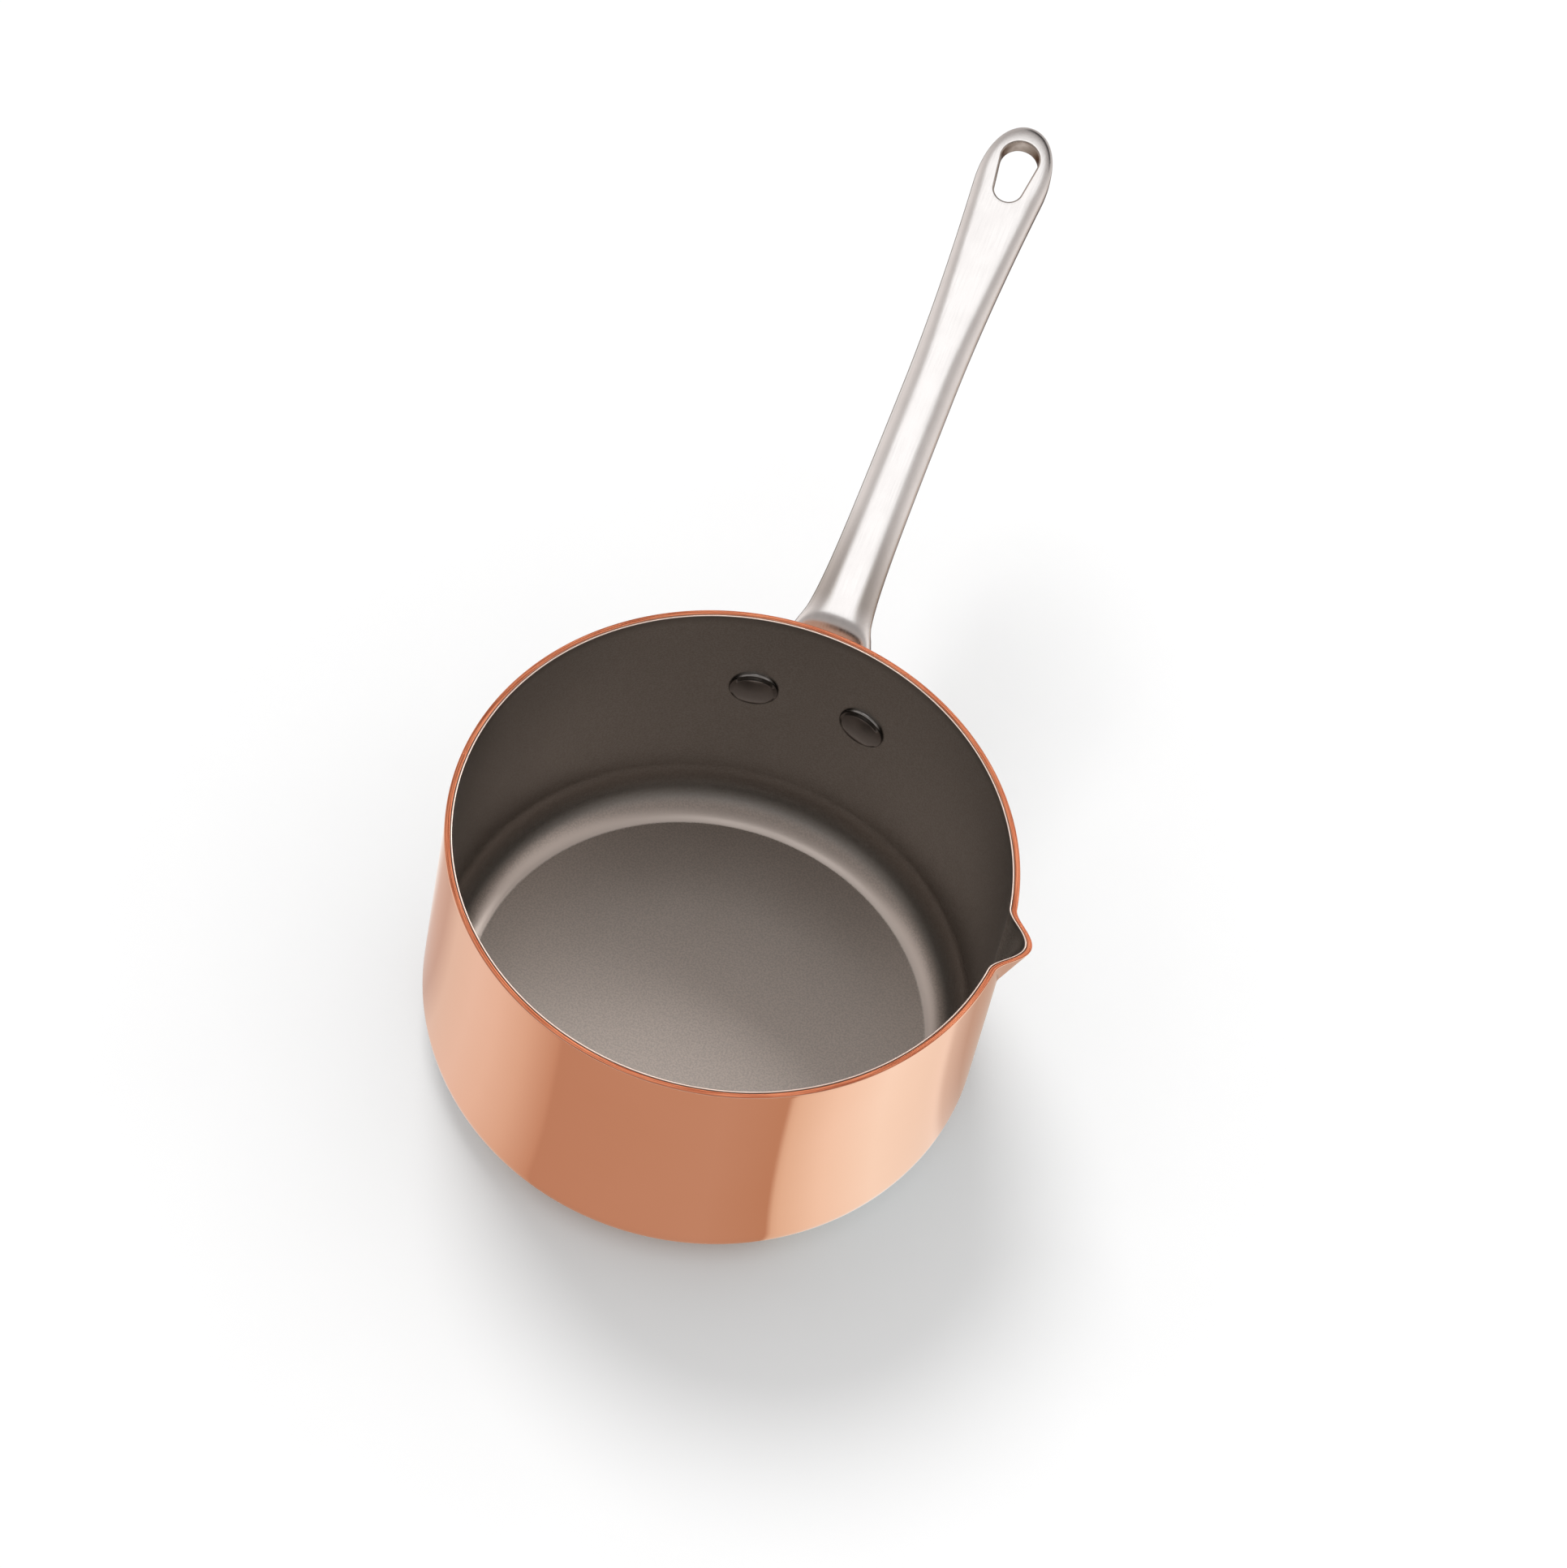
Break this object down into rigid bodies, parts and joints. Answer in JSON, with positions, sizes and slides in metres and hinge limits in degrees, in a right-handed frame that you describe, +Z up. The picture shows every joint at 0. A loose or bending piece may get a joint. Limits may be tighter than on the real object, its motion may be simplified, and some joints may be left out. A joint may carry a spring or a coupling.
{
  "type": "saucepan",
  "caption": "Small straight-sided copper saucepan with a stainless steel lining, a pouring lip in the rim, and a long riveted stainless steel handle with a hang hole.",
  "frame": {"origin": "centre of the flat outer bottom, on the surface that the pan stands on", "axes": "+Z up along the bowl's axis, +Y out along the handle, +X towards the pouring lip"},
  "size_m": [0.0965, 0.1925, 0.0735],
  "materials": {
    "copper": "polished copper with fine turning marks",
    "lining_steel": "satin stainless steel, blasted to a fine matt grain",
    "handle_steel": "cast stainless steel, soft polish",
    "rivet_steel": "stainless steel, soft polish"
  },
  "bodies": {
    "root": {"copper_shell": "copper", "steel_lining": "lining_steel", "handle": "handle_steel", "rivet_left": "rivet_steel", "rivet_right": "rivet_steel"}
  },
  "joints": []
}
